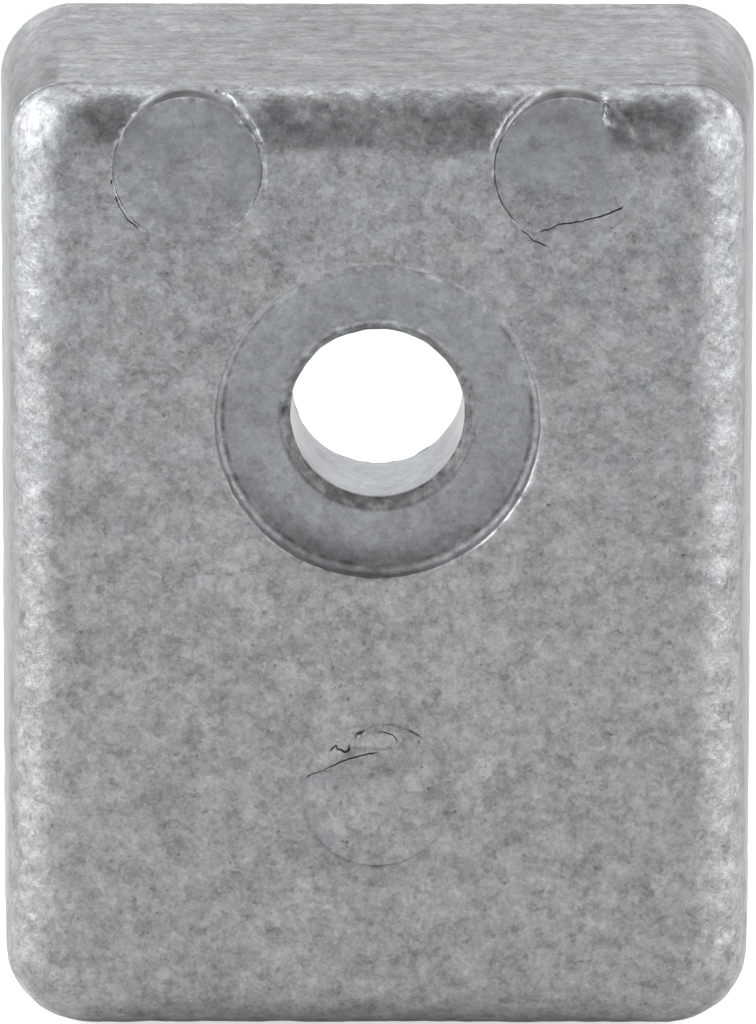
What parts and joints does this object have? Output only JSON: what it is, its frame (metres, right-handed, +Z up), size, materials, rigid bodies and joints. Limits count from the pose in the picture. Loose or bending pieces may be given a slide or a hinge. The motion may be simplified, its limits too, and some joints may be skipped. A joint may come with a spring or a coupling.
{
  "type": "sacrificial anode",
  "caption": "Rectangular cast anode block with drafted walls, a rounded exposed face, a bolt bore with a washer seat, and a wider round recess behind the bore.",
  "frame": {"origin": "where the bolt axis meets the flat mounting face", "axes": "+Y out of the mounting face along the bolt axis, -Y out of the exposed face, +Z up the block towards the end with two ejector marks, +X to the right as seen from the exposed face"},
  "size_m": [0.0306, 0.013, 0.0405],
  "materials": {
    "anode_metal": "rough grey as-cast metal with fine flaky mottling, ground smooth in lines on the top end"
  },
  "bodies": {
    "root": {"anode_block": "anode_metal"}
  },
  "joints": []
}
